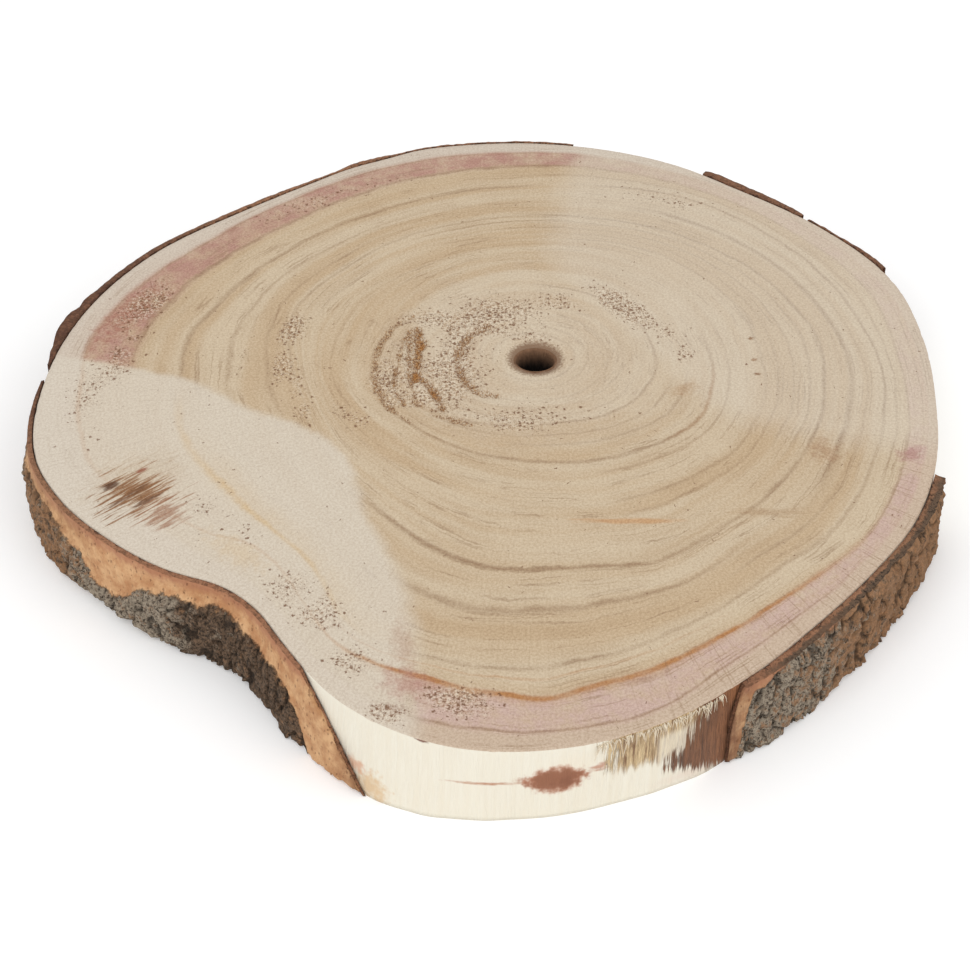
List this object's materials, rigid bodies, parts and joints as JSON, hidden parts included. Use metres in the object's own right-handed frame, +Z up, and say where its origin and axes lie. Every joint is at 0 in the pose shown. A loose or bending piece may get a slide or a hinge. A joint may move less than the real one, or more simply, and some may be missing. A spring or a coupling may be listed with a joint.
{
  "type": "wood slice",
  "caption": "Rustic slice of a pale log, sawn across the grain, with a hollow pith and patches of bark round its edge; lies flat as a tray, stand or table centrepiece.",
  "frame": {"origin": "on the underside, below the middle of the slice's box", "axes": "+Z up out of the sawn top face, +Y towards the bare back edge, across the longer width, +X towards the right edge"},
  "size_m": [0.3068, 0.3219, 0.03],
  "materials": {
    "wood": "rough sawn, unfinished pale wood with tan and pink growth rings",
    "bark": "dry bark, orange-brown inside and rough grey-brown outside"
  },
  "bodies": {
    "root": {"wood": "wood", "bark_front_left": "bark", "bark_back_left": "bark", "bark_back_right_long": "bark", "bark_back_right_short": "bark", "bark_right": "bark"}
  },
  "joints": []
}
